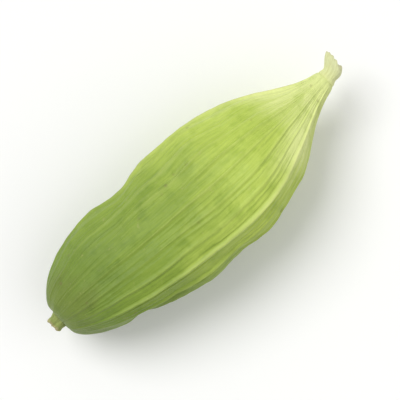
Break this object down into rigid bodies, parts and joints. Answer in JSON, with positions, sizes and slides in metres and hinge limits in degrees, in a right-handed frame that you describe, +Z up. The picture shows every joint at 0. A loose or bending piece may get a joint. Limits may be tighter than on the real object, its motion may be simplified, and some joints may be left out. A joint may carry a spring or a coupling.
{
  "type": "green cardamom pod",
  "caption": "Dried green cardamom pod lying on its side: a ribbed three-cornered husk with a narrow beak, a broken stalk and a dried flower tip.",
  "frame": {"origin": "on the surface that the pod lies on, below the middle of the pod's box", "axes": "+X along the pod from the broken stalk to the dried flower tip, +Z up from the surface"},
  "size_m": [0.019, 0.0068, 0.0063],
  "materials": {
    "husk": "satin",
    "stalk": "matte",
    "flower_tip": "matte"
  },
  "bodies": {
    "root": {"husk": "husk", "stalk_stub": "stalk", "flower_tip": "flower_tip"}
  },
  "joints": []
}
